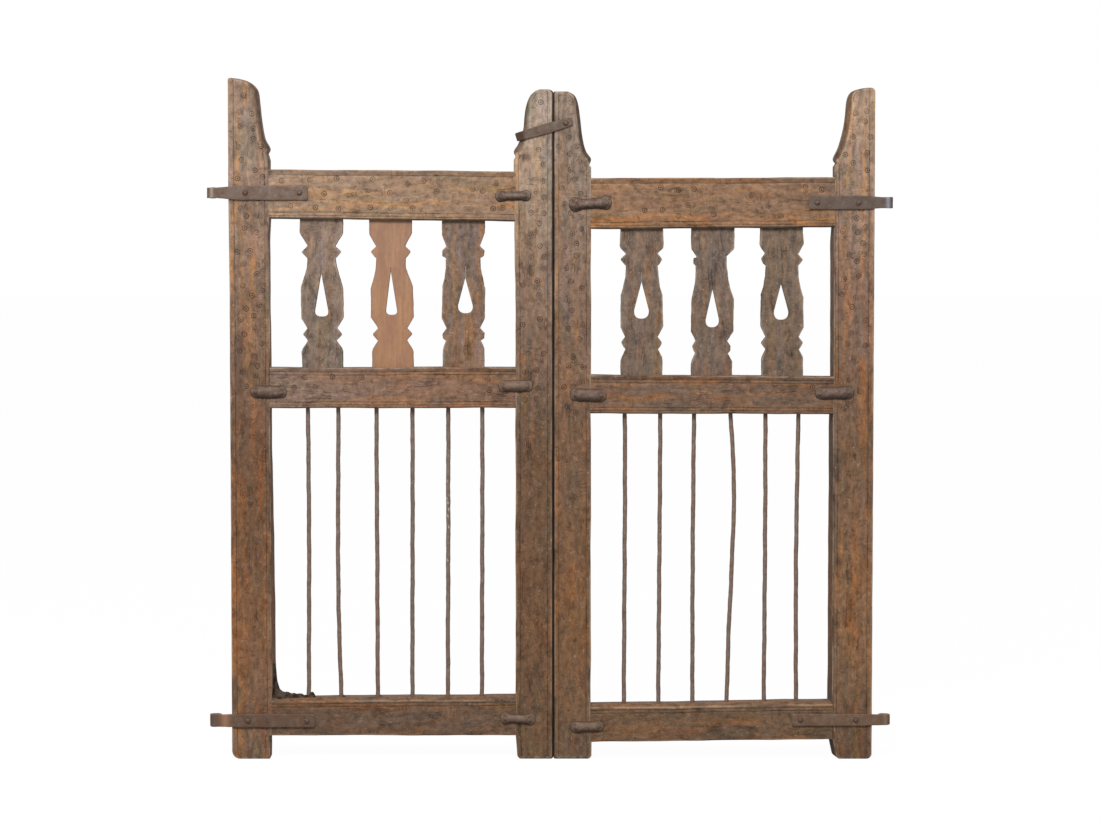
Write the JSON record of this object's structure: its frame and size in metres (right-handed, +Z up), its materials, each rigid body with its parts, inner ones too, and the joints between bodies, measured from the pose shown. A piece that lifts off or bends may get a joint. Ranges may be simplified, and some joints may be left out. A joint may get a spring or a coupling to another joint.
{
  "type": "wooden gate",
  "caption": "Old wooden double-leaf gate with shaped horns, pierced flat splats, iron bars, strap hinges on pins, forged joint cleats and a latch bar that turns on a nail.",
  "frame": {"origin": "on the ground, below the middle of the closed gate's box", "axes": "+Z up, +X to the right of someone who faces the front, -Y to the front"},
  "size_m": [1.2648, 0.0542, 1.2619],
  "materials": {
    "weathered_wood": "bare weathered hardwood, worn and dry",
    "newer_wood": "bare newer wood of a later repair, smooth and dull",
    "forged_iron": "hand-forged iron, dark brown and worn",
    "rusted_bar_iron": "thin round iron, evenly rusted"
  },
  "bodies": {
    "hinge_pins": {"left_top_hinge_pin": "forged_iron", "left_bottom_hinge_pin": "forged_iron", "right_top_hinge_pin": "forged_iron", "right_bottom_hinge_pin": "forged_iron"},
    "left_leaf": {"left_outer_stile": "weathered_wood", "left_meeting_stile": "weathered_wood", "left_top_rail": "weathered_wood", "left_middle_rail": "weathered_wood", "left_bottom_rail": "weathered_wood", "left_splat_1": "weathered_wood", "left_splat_2": "newer_wood", "left_splat_3": "weathered_wood", "left_bar_1": "rusted_bar_iron", "left_bar_2": "rusted_bar_iron", "left_bar_3": "rusted_bar_iron", "left_bar_4": "rusted_bar_iron", "left_bar_5": "rusted_bar_iron", "left_bar_6": "rusted_bar_iron", "left_top_strap": "forged_iron", "left_bottom_strap": "forged_iron", "left_top_stile_nail": "forged_iron", "left_top_rail_nail": "forged_iron", "left_bottom_stile_nail": "forged_iron", "left_bottom_rail_nail": "forged_iron", "left_top_meeting_cleat": "forged_iron", "left_middle_outer_cleat": "forged_iron", "left_middle_meeting_cleat": "forged_iron", "left_bottom_meeting_cleat": "forged_iron"},
    "right_leaf": {"right_outer_stile": "weathered_wood", "right_meeting_stile": "weathered_wood", "right_top_rail": "weathered_wood", "right_middle_rail": "weathered_wood", "right_bottom_rail": "weathered_wood", "right_splat_1": "weathered_wood", "right_splat_2": "weathered_wood", "right_splat_3": "weathered_wood", "right_bar_1": "rusted_bar_iron", "right_bar_2": "rusted_bar_iron", "right_bar_3": "rusted_bar_iron", "right_bar_4": "rusted_bar_iron", "right_bar_5": "rusted_bar_iron", "right_bar_6": "rusted_bar_iron", "right_top_strap": "forged_iron", "right_bottom_strap": "forged_iron", "right_top_stile_nail": "forged_iron", "right_top_rail_nail": "forged_iron", "right_bottom_stile_nail": "forged_iron", "right_bottom_rail_nail": "forged_iron", "right_top_meeting_cleat": "forged_iron", "right_middle_meeting_cleat": "forged_iron", "right_middle_outer_cleat": "forged_iron", "right_bottom_meeting_cleat": "forged_iron", "latch_nail": "forged_iron"},
    "latch": {"latch_bar": "forged_iron"}
  },
  "joints": [
    {"name": "left_leaf_hinge", "type": "hinge", "parent": "hinge_pins", "child": "left_leaf", "pos_m": [-0.6215, -0.0123, 0], "axis": [0, 0, 1], "range_deg": [0, 100]},
    {"name": "right_leaf_hinge", "type": "hinge", "parent": "hinge_pins", "child": "right_leaf", "pos_m": [0.6215, -0.0123, 0], "axis": [0, 0, 1], "range_deg": [0, 100]},
    {"name": "latch_pivot", "type": "hinge", "parent": "right_leaf", "child": "latch", "pos_m": [0.0286, -0.0179, 1.1789], "axis": [0, 1, 0], "range_deg": [0, 235]}
  ]
}
